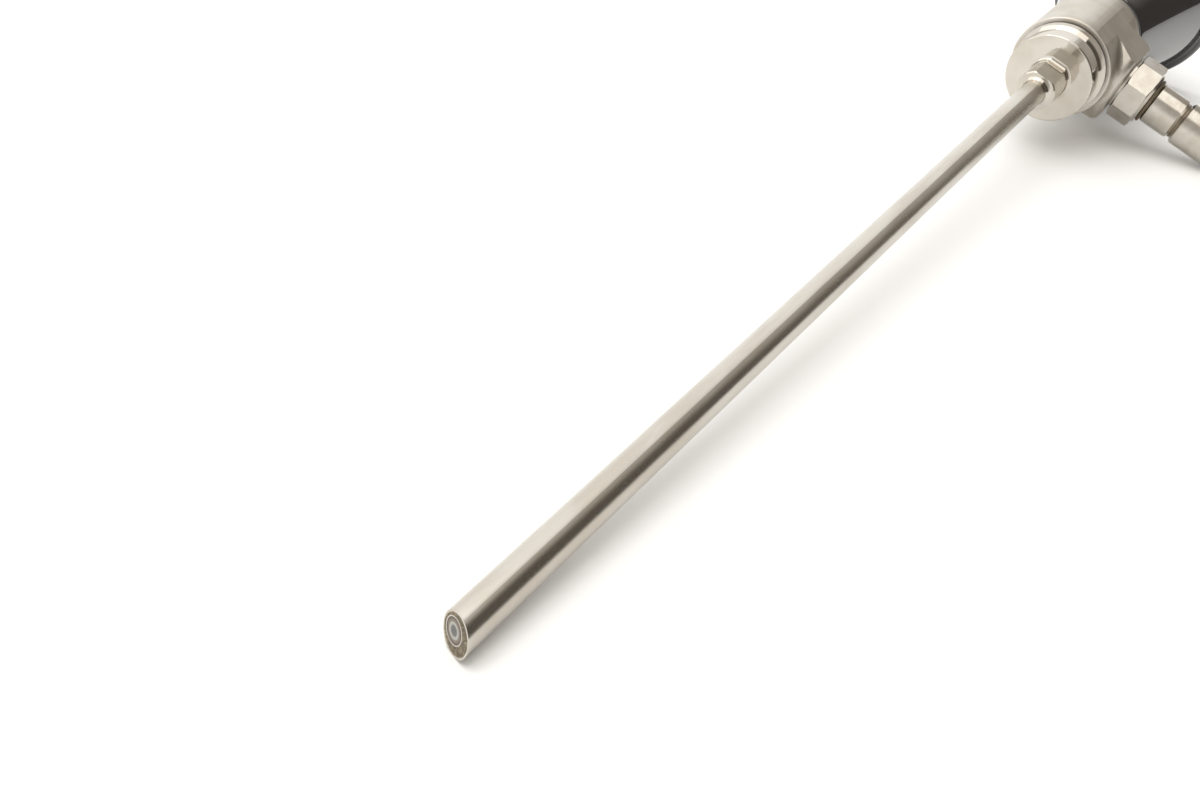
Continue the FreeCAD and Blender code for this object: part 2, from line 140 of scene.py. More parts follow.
class StudioSettings(bpy.types.PropertyGroup):
    """Camera, lamps, room and table."""
    lens: bpy.props.FloatProperty(
        name="Lens", description="Focal length on a 36 mm sensor, in millimetres", default=48.6, min=10)
    key: bpy.props.FloatProperty(
        name="Left softbox", description="Power of the softbox on the left", default=1.1, min=0,
        subtype="POWER")
    top: bpy.props.FloatProperty(
        name="Top softbox", description="Power of the softbox overhead", default=1.9, min=0,
        subtype="POWER")
    room_bright: bpy.props.FloatProperty(
        name="Left side", description="Level of the room's bright left side and ceiling",
        default=1.25, min=0)
    room_behind: bpy.props.FloatProperty(
        name="Wall behind", description="Level of the room behind the camera", default=0.9, min=0)
    room_right: bpy.props.FloatProperty(
        name="Right side", description="Level of the room just right of the middle", default=0.5,
        min=0)
    room_dark: bpy.props.FloatProperty(
        name="Dark side", description="Level of the room at the far right", default=0.12, min=0)
    table_lift: bpy.props.FloatProperty(
        name="Table lift", description="White added to the table where it is seen or reflected",
        default=0.07, min=0)


# Node recipes
class Wire:
    """A socket whose arithmetic and comparisons add Math nodes to its tree."""

    def __init__(self, recipe, socket):
        self.recipe = recipe
        self.socket = socket

    def maths(self, operation, *values):
        links = dict(enumerate(values))
        return self.recipe.node("ShaderNodeMath", {"operation": operation}, links)

    def __add__(self, other):
        return self.maths("ADD", self, other)

    def __radd__(self, other):
        return self.maths("ADD", other, self)

    def __sub__(self, other):
        return self.maths("SUBTRACT", self, other)

    def __rsub__(self, other):
        return self.maths("SUBTRACT", other, self)

    def __mul__(self, other):
        return self.maths("MULTIPLY", self, other)

    def __rmul__(self, other):
        return self.maths("MULTIPLY", other, self)

    def __truediv__(self, other):
        return self.maths("DIVIDE", self, other)

    def __lt__(self, other):
        return self.maths("LESS_THAN", self, other)

    def __gt__(self, other):
        return self.maths("GREATER_THAN", self, other)

    def highest(self, other):
        return self.maths("MAXIMUM", self, other)

    def root(self):
        return self.maths("SQRT", self)


class Recipe:
    """Builds one node tree, of a material, the world or a geometry."""

    def __init__(self, tree):
        self.tree = tree

    def node(self, kind, settings=None, inputs=None, output=0):
        made = self.tree.nodes.new(kind)
        for key, value in (settings or {}).items():
            if key == "stops":
                self.fill_ramp(made.color_ramp, value)
            else:
                setattr(made, key, value)
        for key, value in (inputs or {}).items():
            self.feed(made.inputs[key], value)
        return Wire(self, made.outputs[output])

    def feed(self, socket, value):
        if isinstance(value, Wire):
            self.tree.links.new(value.socket, socket)
        else:
            socket.default_value = value

    def fill_ramp(self, ramp, stops):
        while len(ramp.elements) < len(stops):
            ramp.elements.new(1.0)
        for element, (place, colour) in zip(ramp.elements, stops):
            element.position = place
            element.color = (*colour, 1.0)

    def blend(self, factor, first, second):
        """Colour between two colours: the first at factor 0 and the second at 1."""
        return self.node(
            "ShaderNodeMix", {"data_type": "RGBA"},
            {"Factor": factor, 6: first, 7: second}, 2)

    def smooth(self, value, low, high):
        """0 below low, 1 above high, with soft ends."""
        return self.node(
            "ShaderNodeMapRange", {"interpolation_type": "SMOOTHSTEP"},
            {"Value": value, "From Min": low, "From Max": high})

    def scope_place(self):
        """X, Y and Z in the scope's own axes, in millimetres."""
        turn = REST.to_euler("XYZ")
        place = self.node("ShaderNodeTexCoord", output=3)
        place = self.node(
            "ShaderNodeMapping", {"vector_type": "TEXTURE"},
            {"Vector": place, "Location": REST_SHIFT, "Rotation": turn, "Scale": (MM, MM, MM)})
        parts = self.node("ShaderNodeSeparateXYZ", inputs={0: place}).socket.node
        return [Wire(self, parts.outputs[number]) for number in range(3)]

    def vector(self, x, y, z):
        return self.node("ShaderNodeCombineXYZ", inputs={0: x, 1: y, 2: z})

    def noise(self, vector, scale, detail=2.0, roughness=0.5):
        return self.node(
            "ShaderNodeTexNoise", {"noise_dimensions": "3D"},
            {"Vector": vector, "Scale": scale, "Detail": detail, "Roughness": roughness})


def new_material(name):
    """New node material with its recipe and its Principled BSDF."""
    material = bpy.data.materials.new(name)
    material.use_nodes = True
    bsdf = material.node_tree.nodes["Principled BSDF"]
    return material, Recipe(material.node_tree), bsdf


def settle(recipe, bsdf, **sockets):
    """Feeds the Principled BSDF by socket name, with spaces written as underscores."""
    for name, value in sockets.items():
        recipe.feed(bsdf.inputs[name.replace("_", " ")], value)


def rgba(colour, level=1.0):
    """Opaque colour with four channels, made lighter or darker by level."""
    return tuple(channel * level for channel in colour) + (1.0,)


def bump(recipe, height, strength, depth):
    """Normal of a relief whose full height is depth metres."""
    return recipe.node(
        "ShaderNodeBump", inputs={"Strength": strength, "Distance": depth, "Height": height})


def grain_along_shaft(recipe):
    """Long faint polishing streaks that run with the shaft."""
    x, y, z = recipe.scope_place()
    streaks = recipe.noise(recipe.vector(x * 0.05, y * 3.2, z * 3.2), 1.0, 3.0, 0.6)
    return streaks, recipe.noise(recipe.vector(x * 0.08, y * 0.4, z * 0.4), 1.0, 3.0)


def grain_round_shaft(recipe):
    """Turning lines round the shaft's axis."""
    x, y, z = recipe.scope_place()
    radius = (y * y + z * z).root()
    rings = recipe.noise(recipe.vector(x * 5.0, radius * 5.0, 0.0), 1.0, 3.0, 0.6)
    return rings, recipe.noise(recipe.vector(x, y, z), 0.22, 3.0)


def grain_round_post(recipe):
    """Turning lines round the light post's axis."""
    x, y, z = recipe.scope_place()
    off = x - POST_X / MM
    radius = (off * off + z * z).root()
    rings = recipe.noise(recipe.vector(y * 6.0, radius * 6.0, 0.0), 1.0, 3.0, 0.65)
    return rings, recipe.noise(recipe.vector(x, y, z), 0.5, 3.0)


def hairlines(recipe):
    """Sparse fine scratches in two directions, 0 to 1."""
    x, y, z = recipe.scope_place()
    first = recipe.noise(recipe.vector(x * 0.6 + y * 9.0, y * 0.5, z * 8.0 - x * 3.0), 0.9, 1.0)
    second = recipe.noise(recipe.vector(x * 7.0, y * 0.7 + z * 6.0, z * 0.4), 0.8, 1.0)
    return recipe.smooth(first.highest(second), 0.66, 0.78)


def steel(name, grain, finishes, roughness, level=1.0, relief=0.006):
    """Stainless steel: grain, warm handled patches and hairline scratches, with relief in millimetres."""
    material, recipe, bsdf = new_material(name)
    lines, patches = grain(recipe)
    scratches = hairlines(recipe)
    colour = recipe.blend(
        recipe.smooth(patches, 0.35, 0.7),
        rgba(finishes.steel, level), rgba(finishes.steel_deep, level))
    colour = recipe.blend(lines * 0.16 + scratches * 0.05, colour, rgba(finishes.steel, level * 0.7))
    settle(
        recipe, bsdf, Base_Color=colour, Metallic=1.0,
        Roughness=roughness + (lines - 0.5) * 0.10 + (patches - 0.5) * 0.08 + scratches * 0.03,
        Normal=bump(recipe, lines + scratches * 0.2, 0.5, relief * MM))
    return material


def gloss_black(name, finishes):
    """Moulded black eyecup: gloss with faint wipe marks and dust."""
    material, recipe, bsdf = new_material(name)
    x, y, z = recipe.scope_place()
    wipe = recipe.noise(recipe.vector(x * 0.5, y * 0.2, z * 0.2), 1.2, 3.0)
    dust = recipe.smooth(recipe.noise(recipe.vector(x, y, z), 5.0, 2.0), 0.66, 0.74)
    dust_grey = (0.09, 0.085, 0.08, 1)
    settle(
        recipe, bsdf, Base_Color=recipe.blend(dust * 0.25 + wipe * 0.1, rgba(finishes.cup), dust_grey),
        Roughness=0.04 + wipe * 0.05 + dust * 0.2, IOR=2.2,
        Normal=bump(recipe, wipe, 0.2, 0.01 * MM))
    return material


def rubber(name):
    """Dark brown-black sealing ring, dull with handling."""
    material, recipe, bsdf = new_material(name)
    x, y, z = recipe.scope_place()
    pores = recipe.noise(recipe.vector(x, y, z), 9.0, 3.0)
    dark = (0.024, 0.019, 0.014, 1)
    worn = (0.060, 0.048, 0.035, 1)
    settle(
        recipe, bsdf, Base_Color=recipe.blend(pores, dark, worn),
        Roughness=0.55 + pores * 0.2, Normal=bump(recipe, pores, 0.3, 0.01 * MM))
    return material


def aged_bronze(name):
    """Brown bronze sealing ring of the adapters, dull with handling."""
    material, recipe, bsdf = new_material(name)
    lines, patches = grain_round_post(recipe)
    brown = (0.13, 0.10, 0.065, 1)
    golden = (0.24, 0.19, 0.13, 1)
    settle(
        recipe, bsdf, Base_Color=recipe.blend(patches, brown, golden),
        Metallic=0.9, Roughness=0.34 + lines * 0.15, Normal=bump(recipe, lines, 0.3, 0.006 * MM))
    return material


def silicone(name):
    """Pale grey silicone ring between the body and the eyecup."""
    material, recipe, bsdf = new_material(name)
    x, y, z = recipe.scope_place()
    pores = recipe.noise(recipe.vector(x, y, z), 7.0, 3.0)
    grey = (0.46, 0.45, 0.43, 1)
    pale = (0.56, 0.55, 0.52, 1)
    settle(
        recipe, bsdf, Base_Color=recipe.blend(pores, grey, pale),
        Roughness=0.4 + pores * 0.15, Normal=bump(recipe, pores, 0.3, 0.008 * MM))
    return material


def blackened(name):
    """Blackened brass of the cells and stops."""
    material, recipe, bsdf = new_material(name)
    lines, patches = grain_round_shaft(recipe)
    black = (0.012, 0.011, 0.010, 1)
    worn = (0.05, 0.04, 0.028, 1)
    settle(
        recipe, bsdf, Base_Color=recipe.blend(patches, black, worn),
        Metallic=0.6, Roughness=0.45 + lines * 0.2, Normal=bump(recipe, lines, 0.3, 0.01 * MM))
    return material


def fibre_epoxy(name, finishes):
    """Dark epoxy between the light fibres, polished flush."""
    material, recipe, bsdf = new_material(name)
    x, y, z = recipe.scope_place()
    place = recipe.vector(x, y, z)
    mottle = recipe.noise(place, 2.6, 3.0)
    cells = recipe.node("ShaderNodeTexVoronoi", {"feature": "F1"}, {"Vector": place, "Scale": 14.0})
    colour = recipe.blend(
        recipe.smooth(mottle, 0.35, 0.7), rgba(finishes.epoxy, 0.6), rgba(finishes.epoxy, 1.7))
    colour = recipe.blend(recipe.smooth(cells, 0.2, 0.6) * 0.5, colour, rgba(finishes.epoxy, 0.3))
    settle(recipe, bsdf, Base_Color=colour, Roughness=0.28 + mottle * 0.15, IOR=1.48)
    return material


def fibre_ends(name, finishes):
    """Polished ends of the light fibres, each a little lighter or darker."""
    material, recipe, bsdf = new_material(name)
    x, y, z = recipe.scope_place()
    place = recipe.vector(x, y, z)
    chance = recipe.noise(place, 7.0, 0.0)
    drift = recipe.noise(place, 0.9, 1.0)
    colour = recipe.blend(
        recipe.smooth(chance + (drift - 0.5) * 0.6, 0.35, 0.72),
        rgba(finishes.epoxy, 0.8), rgba(finishes.fibre))
    settle(recipe, bsdf, Base_Color=colour, Roughness=0.2, IOR=1.5)
    return material


def window_glass(name):
    """Sapphire window with the rings of the cell behind it."""
    material, recipe, bsdf = new_material(name)
    x, y, z = recipe.scope_place()
    off = y - OPTICS_Y / MM
    radius = (off * off + z * z).root()
    haze = recipe.noise(recipe.vector(x, y, z), 1.6, 2.0)
    colour = recipe.node(
        "ShaderNodeValToRGB",
        {"stops": [
            (0.00, (0.05, 0.05, 0.045)), (0.36, (0.08, 0.08, 0.07)), (0.48, (0.34, 0.34, 0.31)),
            (0.60, (0.36, 0.35, 0.31)), (0.68, (0.16, 0.12, 0.08)), (0.84, (0.13, 0.09, 0.055)),
            (1.00, (0.05, 0.035, 0.025))]},
        {"Fac": radius / (WINDOW_RADIUS / MM)})
    haze_grey = (0.28, 0.28, 0.27, 1)
    settle(
        recipe, bsdf, Base_Color=recipe.blend(haze * 0.12, colour, haze_grey),
        Roughness=0.08 + haze * 0.08, IOR=1.6)
    return material


def clear_glass(name, tint):
    """Clear optical glass with faint coating haze."""
    material, recipe, bsdf = new_material(name)
    x, y, z = recipe.scope_place()
    haze = recipe.noise(recipe.vector(x, y, z), 0.4, 2.0)
    settle(
        recipe, bsdf, Base_Color=recipe.blend(haze, rgba(tint), rgba(tint, 0.94)),
        Roughness=0.015 + haze * 0.02, IOR=1.52, Transmission_Weight=1.0)
    return material


def cement(name):
    """Dark cement that seals the window into its tube."""
    material, recipe, bsdf = new_material(name)
    x, y, z = recipe.scope_place()
    mottle = recipe.noise(recipe.vector(x, y, z), 4.0, 2.0)
    dark = (0.03, 0.02, 0.013, 1)
    brown = (0.10, 0.07, 0.045, 1)
    settle(
        recipe, bsdf, Base_Color=recipe.blend(mottle, dark, brown),
        Roughness=0.3 + mottle * 0.2, Normal=bump(recipe, mottle, 0.3, 0.01 * MM))
    return material


def node_finishes(finishes):
    """Material of each CAD node, by the node's name."""
    inner = steel("plain_inner_steel", grain_round_shaft, finishes, 0.38, level=0.7)
    brass = blackened("blackened_brass")
    bronze = aged_bronze("aged_bronze")
    glass = clear_glass("lens_glass", (0.90, 0.95, 0.93))
    rod = clear_glass("rod_glass", (0.93, 0.96, 0.94))
    adapter = steel("turned_adapter_steel", grain_round_post, finishes, 0.17, relief=0.028)
    looks = {
        "outer_tube": steel(
            "polished_shaft_steel", grain_along_shaft, finishes, finishes.shaft_gloss),
        "inner_optics_tube": steel(
            "optics_tube_steel", grain_along_shaft, finishes, 0.25, level=1.05, relief=0.004),
        "objective_window": window_glass("sapphire_window"),
        "objective_cell": inner,
        "light_fibre_bundle": fibre_epoxy("fibre_epoxy", finishes),
        "sheath_hub": steel(
            "polished_hub_steel", grain_round_shaft, finishes, finishes.hub_gloss,
            level=1.03, relief=0.004),
        "hub_seal": rubber("seal_rubber"),
        "main_body": steel(
            "satin_body_steel", grain_round_shaft, finishes, finishes.body_gloss),
        "light_post_base": steel(
            "milled_collar_steel", grain_round_post, finishes, 0.16, level=0.98),
        "fibre_ferrule": steel(
            "ferrule_steel", grain_round_post, finishes, 0.2, relief=0.004),
        "inner_adapter_seal": bronze,
        "inner_adapter": adapter,
        "outer_adapter_seal": bronze,
        "outer_adapter": adapter,
        "eyepiece_tube": inner,
        "field_stop": brass,
        "ocular_cell": brass,
        "ocular_lock_ring": brass,
        "eyecup_seal": silicone("pale_silicone"),
        "eyecup": gloss_black("gloss_black_eyecup", finishes),
        "eyepiece_window": glass,
        "window_retaining_ring": brass,
    }
    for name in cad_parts:
        if name.startswith("rod_lens"):
            looks[name] = rod
        elif name.startswith("rod_spacer"):
            looks[name] = inner
        elif name not in looks:
            looks[name] = glass
    return looks


# Geometry recipes
def geometry_recipe(name, sizes):
    """New geometry tree with one named input for each size."""
    tree = bpy.data.node_groups.new(name, "GeometryNodeTree")
    for label, kind, value in sizes:
        socket = tree.interface.new_socket(label, in_out="INPUT", socket_type=kind)
        socket.default_value = value
    tree.interface.new_socket("Geometry", in_out="OUTPUT", socket_type="NodeSocketGeometry")
    recipe = Recipe(tree)
    source = tree.nodes.new("NodeGroupInput")
    given = {socket.name: Wire(recipe, socket) for socket in source.outputs if socket.name}
    return recipe, given


def close_tree(recipe, geometry, material):
    """Realized instances with their material as the tree's result."""
    geometry = recipe.node("GeometryNodeRealizeInstances", inputs={0: geometry})
    geometry = recipe.node(
        "GeometryNodeSetMaterial", inputs={"Geometry": geometry, "Material": material})
    end = recipe.tree.nodes.new("NodeGroupOutput")
    recipe.tree.links.new(geometry.socket, end.inputs[0])


def grown(name, tree, place):
    """Bakes a geometry tree to a plain mesh and puts its points where place says."""
    holder = bpy.data.objects.new(name + "_tree", bpy.data.meshes.new(name + "_tree"))
    bpy.context.scene.collection.objects.link(holder)
    modifier = holder.modifiers.new("Grow", "NODES")
    modifier.node_group = tree
    bpy.context.view_layer.update()
    seen = holder.evaluated_get(bpy.context.evaluated_depsgraph_get())
    mesh = bpy.data.meshes.new_from_object(seen)
    holder.modifiers.remove(modifier)
    bpy.data.objects.remove(holder)
    mesh.name = name
    mesh.transform(place)
    piece = bpy.data.objects.new(name, mesh)
    bpy.context.scene.collection.objects.link(piece)
    return piece


def thread_tree(name, sizes, radius, length, material):
    """Helical ridge round Z, from the origin up."""
    recipe, given = geometry_recipe(name, (
        ("Pitch", "NodeSocketFloat", sizes.thread_pitch),
        ("Crest", "NodeSocketFloat", radius + sizes.thread_height),
        ("Length", "NodeSocketFloat", length)))
    depth = given["Pitch"] * RIDGE_DEPTH
    middle = given["Crest"] - depth
    path = recipe.node("GeometryNodeCurveSpiral", inputs={
        "Resolution": 64, "Rotations": given["Length"] / given["Pitch"], "Start Radius": middle,
        "End Radius": middle, "Height": given["Length"]})
    outline = recipe.node(
        "GeometryNodeCurvePrimitiveCircle", {"mode": "RADIUS"}, {"Resolution": 4, "Radius": depth})
    ridge = recipe.node("GeometryNodeCurveToMesh", inputs={
        "Curve": path, "Profile Curve": outline, "Fill Caps": True})
    close_tree(recipe, ridge, material)
    return recipe.tree


def fibre_tree(name, sizes, reach, clear_radius, clear_offset, material):
    """Close-packed fibre ends in a disc in the XY plane, less a clear disc off its centre."""
    recipe, given = geometry_recipe(name, (
        ("Spacing", "NodeSocketFloat", sizes.fibre_pitch),
        ("Reach", "NodeSocketFloat", reach),
        ("Clear radius", "NodeSocketFloat", clear_radius),
        ("Clear offset", "NodeSocketFloat", clear_offset),
        ("Seed", "NodeSocketInt", sizes.seed)))
    # both counts are odd, so that one fibre lies in the middle
    rows = math.ceil(2 * reach / (sizes.fibre_pitch * FIBRE_ROW_STEP)) // 2 * 2 + 1
    columns = math.ceil(2 * reach / sizes.fibre_pitch) // 2 * 2 + 1
    grid = recipe.node("GeometryNodeMeshGrid", inputs={
        "Size X": given["Spacing"] * (columns - 1),
        "Size Y": given["Spacing"] * (FIBRE_ROW_STEP * (rows - 1)),
        "Vertices X": columns, "Vertices Y": rows})
    points = recipe.node("GeometryNodeMeshToPoints", inputs={"Mesh": grid})
    parts = recipe.node("ShaderNodeSeparateXYZ", inputs={
        0: recipe.node("GeometryNodeInputPosition")}).socket.node
    x, y = [Wire(recipe, parts.outputs[number]) for number in range(2)]
    row = recipe.node(
        "ShaderNodeMath", {"operation": "ROUND"}, {0: y / (given["Spacing"] * FIBRE_ROW_STEP)})
    odd = recipe.node("ShaderNodeMath", {"operation": "FLOORED_MODULO"}, {0: row, 1: 2.0})
    stir = recipe.node("FunctionNodeRandomValue", {"data_type": "FLOAT_VECTOR"}, {
        0: (-FIBRE_STIR, -FIBRE_STIR, 0.0), 1: (FIBRE_STIR, FIBRE_STIR, 0.0), "Seed": given["Seed"]})
    stir = recipe.node("ShaderNodeVectorMath", {"operation": "SCALE"}, {0: stir, "Scale": given["Spacing"]})
    shift = recipe.node("ShaderNodeVectorMath", {"operation": "ADD"}, {
        0: stir, 1: recipe.vector(odd * given["Spacing"] * 0.5, 0.0, 0.0)})
    points = recipe.node("GeometryNodeSetPosition", inputs={"Geometry": points, "Offset": shift})
    off = x - given["Clear offset"]
    inside = (x * x + y * y).root() < given["Reach"]
    clear = (off * off + y * y).root() > given["Clear radius"]
    points = recipe.node("GeometryNodeSeparateGeometry", {"domain": "POINT"}, {
        "Geometry": points, "Selection": inside * clear})
    end = recipe.node("GeometryNodeMeshCircle", {"fill_type": "NGON"}, {
        "Vertices": 6, "Radius": given["Spacing"] * FIBRE_RADIUS})
    size = recipe.node("FunctionNodeRandomValue", {"data_type": "FLOAT"}, {
        2: SMALLEST_FIBRE, 3: 1.0, "Seed": given["Seed"]}, 1)
    ends = recipe.node("GeometryNodeInstanceOnPoints", inputs={
        "Points": points, "Instance": end, "Scale": size})
    close_tree(recipe, ends, material)
    return recipe.tree


def post_place(height):
    """Local Z along the light post, with its origin at this height on the post."""
    along = Matrix(((1, 0, 0), (0, 0, -1), (0, 1, 0))).to_4x4()
    return REST @ Matrix.Translation((POST_X, -height, 0)) @ along


def sewn(name, loops):
    """Closed skin through loops of places, each sewn to the next and the last to the first."""
    mesh = bmesh.new()
    rows = [[mesh.verts.new(place) for place in loop] for loop in loops]
    for here, there in zip(rows, rows[1:] + rows[:1]):
        for number in range(len(here)):
            following = (number + 1) % len(here)
            mesh.faces.new((here[number], there[number], there[following], here[following]))
    bmesh.ops.recalc_face_normals(mesh, faces=mesh.faces)
    data = bpy.data.meshes.new(name)
    mesh.to_mesh(data)
    mesh.free()
    for face in data.polygons:
        face.use_smooth = True
    data.set_sharp_from_angle(angle=SHARP_ANGLE)
    data.transform(REST)
    piece = bpy.data.objects.new(name, data)
    bpy.context.scene.collection.objects.link(piece)
    return piece


def bend(start, middle, end, count=12):
    """Places along a smooth curve through three places."""
    return [
        tuple(a * (1 - t) * (1 - 2 * t) + b * 4 * t * (1 - t) + c * t * (2 * t - 1)
              for a, b, c in zip(start, middle, end))
        for t in (number / count for number in range(count + 1))]


def eyecup_profile():
    """Closed (x, radius) outline of the eyecup, in millimetres, from its front round to its seat."""
    front = 206.0
    bore = 6.65
    bore_end = 232.8
    light_hole = 5.2
    window_seat = 233.6
    window_pocket = 6.0
    bowl_floor = 236.6
    rim = 16.0
    back = 240.5
    return [
        (front, bore),
        *bend((front, 7.9), (206.08, 8.2), (206.4, 8.35), 4),
        *bend((206.6, 8.4), (221.2, 11.3), (235.8, 14.6), 24),
        *bend((236.0, 15.0), (236.05, 15.65), (236.8, rim), 5),
        *bend((240.0, rim), (240.35, 15.85), (back, 15.5), 4),
        *bend((back, 14.4), (237.9, 10.4), (bowl_floor, 7.0)),
        (bowl_floor, window_pocket),
        (window_seat, window_pocket),
        (window_seat, light_hole),
        (bore_end, light_hole),
        (bore_end, bore)]


def ring_bead(name, radius, width, height, steps=96, sides=8):
    """Low round bead on an oblique tube end, as an oval torus in the face's plane."""
    loops = []
    for step in range(steps):
        angle = 2 * math.pi * step / steps
        loop = []
        for side in range(sides):
            turn = 2 * math.pi * side / sides
            reach = radius + width / 2 * math.cos(turn)
            y = OPTICS_Y + reach * math.cos(angle)
            z = reach * math.sin(angle)
            lift = height * math.sin(turn)
            x = y * math.tan(TIP_ANGLE)
            loop.append((x - lift * math.cos(TIP_ANGLE), y + lift * math.sin(TIP_ANGLE), z))
        loops.append(loop)
    return sewn(name, loops)


# Operators
class SCOPE_OT_finish_nodes(bpy.types.Operator):
    """Give every solid of the scope its finish"""
    bl_idname = "scope.finish_nodes"
    bl_label = "Finish the solids"

    def execute(self, context):
        looks = node_finishes(context.scene.scope_finishes)
        for name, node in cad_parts.items():
            node.data.materials.clear()
            node.data.materials.append(looks[name])
        return {"FINISHED"}


class SCOPE_OT_threads(bpy.types.Operator):
    """Wind the crests of the light post's two adapter threads"""
    bl_idname = "scope.threads"
    bl_label = "Adapter threads"

    def execute(self, context):
        sizes = context.scene.scope_sizes
        finishes = context.scene.scope_finishes
        metal = steel("thread_steel", grain_round_post, finishes, 0.25, level=0.95, relief=0.004)
        stud = thread_tree("stud_thread", sizes, STUD_RADIUS, STUD_THREAD_LENGTH, metal)
        piece = grown("stud_thread", stud, post_place(STUD_THREAD_START))
        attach(piece, "scope")
        spigot = thread_tree("spigot_thread", sizes, SPIGOT_RADIUS, SPIGOT_THREAD_LENGTH, metal)
        piece = grown("spigot_thread", spigot, post_place(SPIGOT_THREAD_START))
        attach(piece, "inner_adapter")
        return {"FINISHED"}


class SCOPE_OT_fibre_ends(bpy.types.Operator):
    """Lay the polished ends of the light fibres in the tip and in the light post"""
    bl_idname = "scope.fibre_ends"
    bl_label = "Fibre ends"

    def execute(self, context):
        sizes = context.scene.scope_sizes
        look = fibre_ends("fibre_ends", context.scene.scope_finishes)
        crescent = fibre_tree(
            "tip_fibres", sizes, TIP_FIBRE_REACH, TIP_FIBRE_CLEAR, OPTICS_Y, look)
        # local X is the scope's Y, the face leans by the tip's angle, and the ends stand just clear of it
        clear_x = -0.006 * MM
        clear_y = 0.0035 * MM
        slant = Matrix((
            (math.tan(TIP_ANGLE), 0, -1, clear_x),
            (1, 0, 0, clear_y),
            (0, -1, 0, 0),
            (0, 0, 0, 1)))
        piece = grown("tip_fibre_ends", crescent, REST @ slant)
        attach(piece, "scope")
        disc = fibre_tree("post_fibres", sizes, POST_FIBRE_REACH, 0.0, 0.0, look)
        piece = grown("post_fibre_ends", disc, post_place(POST_FIBRE_HEIGHT))
        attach(piece, "scope")
        return {"FINISHED"}


class SCOPE_OT_window_cement(bpy.types.Operator):
    """Run the cement bead round the objective window"""
    bl_idname = "scope.window_cement"
    bl_label = "Window cement"

    def execute(self, context):
        width = context.scene.scope_sizes.cement_width
        height = 0.012 * MM
        piece = ring_bead("window_cement", WINDOW_RADIUS - width / 2, width, height)
        piece.data.materials.append(cement("window_cement"))
        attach(piece, "scope")
        return {"FINISHED"}


class SCOPE_OT_eyecup(bpy.types.Operator):
    """Turn the funnel of the eyecup, which flares straight from the body"""
    bl_idname = "scope.eyecup"
    bl_label = "Eyecup"

    def execute(self, context):
        steps = 160
        loops = []
        for step in range(steps):
            angle = 2 * math.pi * step / steps
            loops.append([
                (x * MM, radius * MM * math.cos(angle), radius * MM * math.sin(angle))
                for x, radius in eyecup_profile()])
        piece = sewn("eyecup_funnel", loops)
        piece.data.materials.append(gloss_black("gloss_black_funnel", context.scene.scope_finishes))
        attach(piece, "scope")
        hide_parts("eyecup")
        return {"FINISHED"}


class SCOPE_OT_stage(bpy.types.Operator):
    """Set the camera, the white table and the soft light"""
    bl_idname = "scope.stage"
    bl_label = "Studio"

    def execute(self, context):
        studio = context.scene.scope_studio
        context.scene.view_settings.view_transform = "Standard"
        set_camera(context.scene, studio)
        set_table(studio)
        set_softboxes(studio)
        set_room(context.scene, studio)
        return {"FINISHED"}


class SCOPE_PT_panel(bpy.types.Panel):
    """Pieces and settings of the arthroscope"""
    bl_label = "Arthroscope"
    bl_idname = "SCOPE_PT_panel"
    bl_space_type = "VIEW_3D"
    bl_region_type = "UI"
    bl_category = "Arthroscope"

    def draw(self, context):
        scene = context.scene
        for group in (scene.scope_sizes, scene.scope_finishes, scene.scope_studio):
            box = self.layout.box()
            for key in group.bl_rna.properties.keys():
                if key not in {"rna_type", "name"}:
                    box.prop(group, key)
        for operator in OPERATORS:
            self.layout.operator(operator.bl_idname)


# Studio
def set_camera(scene, studio):
    """Camera near the tip, looking along the shaft and down, fitted to the shaft in the photograph."""
    place = Vector((-0.09062, -0.02080, 0.10532))
    right = Vector((0.49689, -0.77435, 0.39177))
    down = Vector((-0.42001, -0.60964, -0.67226))
    ahead = Vector((0.75940, 0.16949, -0.62816))
    turn = Matrix((right, -down, -ahead)).transposed().to_4x4()
    data = bpy.data.cameras.new("photo_camera")
    data.sensor_width = 36.0
    data.lens = studio.lens
    data.clip_start = 0.005
    camera = bpy.data.objects.new("photo_camera", data)
    camera.matrix_world = REST @ Matrix.Translation(place) @ turn
    scene.collection.objects.link(camera)
    scene.camera = camera


def set_table(studio):
    """White table top, a little lifted towards white where it is seen or reflected."""
    mesh = bpy.data.meshes.new("table")
    reach = 2.5
    corners = [(-reach, -reach, 0), (reach, -reach, 0), (reach, reach, 0), (-reach, reach, 0)]
    mesh.from_pydata(corners, [], [(0, 1, 2, 3)])
    table = bpy.data.objects.new("table", mesh)
    bpy.context.scene.collection.objects.link(table)
    material, recipe, bsdf = new_material("table_white")
    settle(recipe, bsdf, Base_Color=(0.91, 0.91, 0.905, 1), Roughness=0.6)
    path = recipe.node("ShaderNodeLightPath").socket.node
    direct, glossy, through = [
        Wire(recipe, path.outputs[name])
        for name in ("Is Camera Ray", "Is Glossy Ray", "Is Transmission Ray")]
    seen = direct.highest(glossy).highest(through)
    recipe.feed(bsdf.inputs["Emission Color"], (1.0, 1.0, 0.99, 1))
    recipe.feed(bsdf.inputs["Emission Strength"], seen * studio.table_lift)
    mesh.materials.append(material)


def add_softbox(name, place, target, size, power):
    """Rectangular softbox that shines at a point."""
    data = bpy.data.lights.new(name, "AREA")
    data.shape = "RECTANGLE"
    data.size, data.size_y = size
    data.energy = power
    data.color = (1.0, 0.985, 0.96)
    lamp = bpy.data.objects.new(name, data)
    turn = (target - place).to_track_quat("-Z", "Y").to_matrix().to_4x4()
    lamp.matrix_world = Matrix.Translation(place) @ turn
    bpy.context.scene.collection.objects.link(lamp)


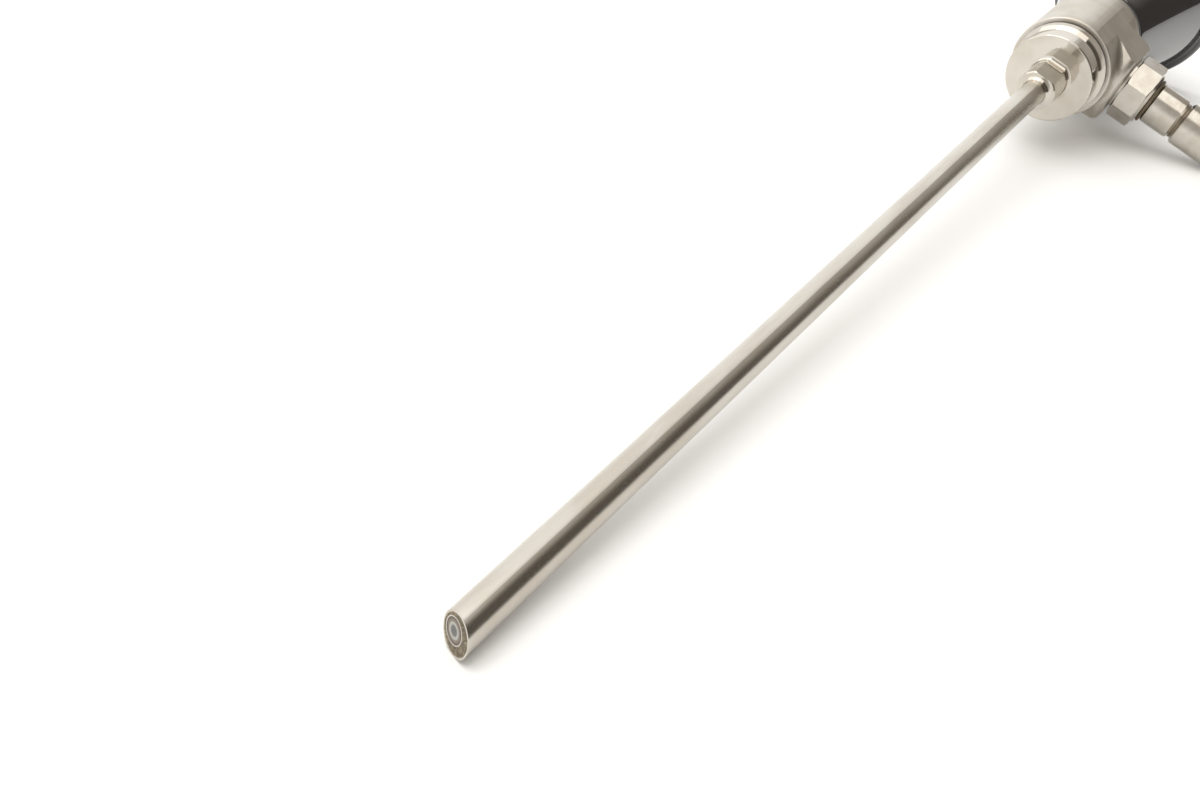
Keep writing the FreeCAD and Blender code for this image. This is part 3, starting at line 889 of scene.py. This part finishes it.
def set_softboxes(studio):
    """Strong softbox overhead and a weaker one on the left."""
    add_softbox(
        "left_softbox", place=Vector((-0.05, 0.55, 0.60)), target=Vector((0, 0, 0)),
        size=(0.9, 0.6), power=studio.key)
    add_softbox(
        "top_softbox", place=Vector((-0.05, 0.05, 0.60)), target=Vector((-0.05, 0.05, 0)),
        size=(0.68, 0.70), power=studio.top)


def set_room(scene, studio):
    """White on the left, overhead and behind the camera, dim right of the middle, dark at the far right."""
    world = bpy.data.worlds.new("studio_room")
    world.use_nodes = True
    recipe = Recipe(world.node_tree)
    toward = recipe.node("ShaderNodeTexCoord", output=0)
    parts = recipe.node("ShaderNodeSeparateXYZ", inputs={0: toward}).socket.node
    # ahead runs from the tip towards the eyepiece, and side is 1 at the far left and -1 at the far right
    ahead, side, height = [Wire(recipe, parts.outputs[number]) for number in range(3)]
    left = recipe.smooth(side, -0.26, 0.06) * studio.room_bright
    behind = recipe.smooth(0.0 - ahead, 0.15, 0.55) * studio.room_behind
    behind = behind * (1.0 - 0.4 * recipe.smooth(height, 0.02, 0.28))
    right = recipe.smooth(side, -0.66, -0.22) * studio.room_right
    level = left.highest(behind).highest(right).highest(studio.room_dark)
    background = world.node_tree.nodes["Background"]
    dim_cream = (1.0, 0.90, 0.77, 1)
    bright_white = (1.0, 0.99, 0.97, 1)
    colour = recipe.blend(recipe.smooth(level, 0.2, 0.9), dim_cream, bright_white)
    recipe.feed(background.inputs["Color"], colour)
    recipe.feed(background.inputs["Strength"], level)
    scene.world = world


OPERATORS = (
    SCOPE_OT_finish_nodes,
    SCOPE_OT_threads,
    SCOPE_OT_fibre_ends,
    SCOPE_OT_window_cement,
    SCOPE_OT_eyecup,
    SCOPE_OT_stage,
)
SETTINGS = (ScopeSizes, ScopeFinishes, StudioSettings)


def register():
    for item in SETTINGS + OPERATORS + (SCOPE_PT_panel,):
        bpy.utils.register_class(item)
    bpy.types.Scene.scope_sizes = bpy.props.PointerProperty(type=ScopeSizes)
    bpy.types.Scene.scope_finishes = bpy.props.PointerProperty(type=ScopeFinishes)
    bpy.types.Scene.scope_studio = bpy.props.PointerProperty(type=StudioSettings)


def unregister():
    del bpy.types.Scene.scope_studio
    del bpy.types.Scene.scope_finishes
    del bpy.types.Scene.scope_sizes
    for item in reversed(SETTINGS + OPERATORS + (SCOPE_PT_panel,)):
        bpy.utils.unregister_class(item)


def main():
    """Makes every piece in order."""
    register()
    bpy.ops.scope.finish_nodes()
    bpy.ops.scope.threads()
    bpy.ops.scope.fibre_ends()
    bpy.ops.scope.window_cement()
    bpy.ops.scope.eyecup()
    bpy.ops.scope.stage()


if __name__ == "__main__":
    main()
